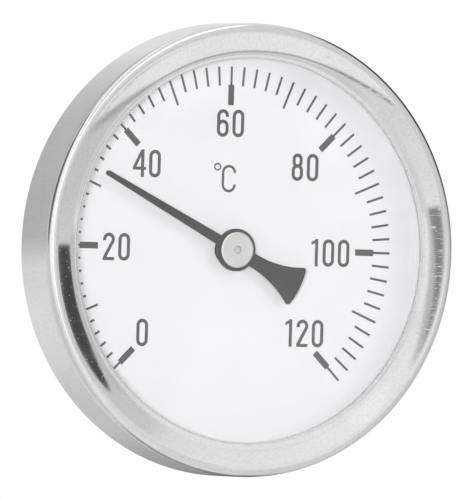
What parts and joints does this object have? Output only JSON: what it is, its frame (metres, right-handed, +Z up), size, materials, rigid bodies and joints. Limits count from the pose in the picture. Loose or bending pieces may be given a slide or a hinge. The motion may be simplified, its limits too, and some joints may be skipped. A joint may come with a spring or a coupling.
{
  "type": "dial thermometer",
  "caption": "Round dial thermometer with a plated sheet-metal bezel, black pointer and flared tail, on a rear stem clamped in a screw-in brass pocket.",
  "frame": {"origin": "where the instrument's axis meets the sealing face of the pocket, at the wall of the vessel", "axes": "+Z up, with the top of the dial up; the dial faces -Y; +Y runs along the stem into the vessel"},
  "size_m": [0.08, 0.075, 0.08],
  "materials": {
    "plated_steel": "bright zinc-nickel plated sheet steel, fine polishing scratches",
    "gasket": "matt grey",
    "glass": "clear flat glass",
    "spacer": "matt white",
    "dial_white": "matt white lacquer with a printed black scale",
    "pointer_black": "satin black lacquer",
    "bright_metal": "turned face",
    "shaft_steel": "ground",
    "brass": "turned brass, a little dull",
    "bimetal": "rolled strip",
    "fibre": "matt red-brown vulcanised fibre",
    "screw_steel": "plated"
  },
  "bodies": {
    "pocket": {"pocket_body": "brass", "pocket_tube": "brass", "sealing_washer": "fibre"},
    "lock": {"locking_screw": "screw_steel"},
    "head": {"front_shell": "plated_steel", "back_plate": "plated_steel", "window_gasket": "gasket", "window": "glass", "spacer_ring": "spacer", "dial_plate": "dial_white", "upper_bush": "brass", "lower_bush": "brass", "bimetal_helix": "bimetal", "stem_tube": "brass", "stem_plug": "brass", "stem_collar": "brass"},
    "indicator": {"pointer": "pointer_black", "pointer_hub": "bright_metal", "pointer_shaft": "shaft_steel", "helix_collar": "brass"}
  },
  "joints": [
    {"name": "stem_slide", "type": "slide", "parent": "pocket", "child": "head", "axis": [0, -1, 0], "range_m": [0, 0.06]},
    {"name": "lock_travel", "type": "slide", "parent": "pocket", "child": "lock", "axis": [0, 0, 1], "range_m": [0, 0.0014]},
    {"name": "pointer_turn", "type": "hinge", "parent": "head", "child": "indicator", "pos_m": [0, 0, 0], "axis": [0, 1, 0], "range_deg": [-72, 198], "stiffness_Nm_per_rad": 0.0008, "deforming": ["bimetal_helix"]}
  ]
}
